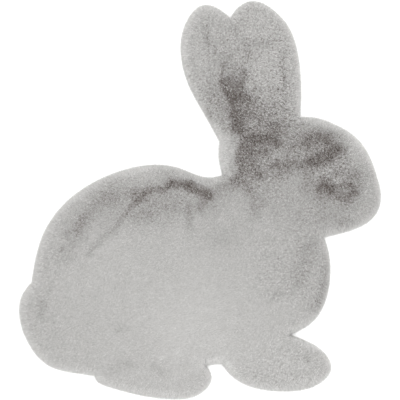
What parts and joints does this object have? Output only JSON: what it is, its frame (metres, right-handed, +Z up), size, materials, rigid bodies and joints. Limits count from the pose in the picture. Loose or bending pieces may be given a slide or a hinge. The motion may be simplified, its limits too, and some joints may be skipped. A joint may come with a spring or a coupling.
{
  "type": "rabbit shaped kids rug",
  "caption": "Flat rug cut to the side outline of a sitting rabbit, with a short, dense plush pile, brushed in soft strokes.",
  "frame": {"origin": "middle of the rug's bounding box, on the floor", "axes": "+Z up out of the pile, +Y towards the ear tips, +X towards the nose"},
  "size_m": [0.8172, 0.9, 0.021],
  "materials": {
    "plush_pile": "matt short plush pile, warm light grey, darker where it was brushed the other way"
  },
  "bodies": {
    "root": {"pile_rug": "plush_pile"}
  },
  "joints": []
}
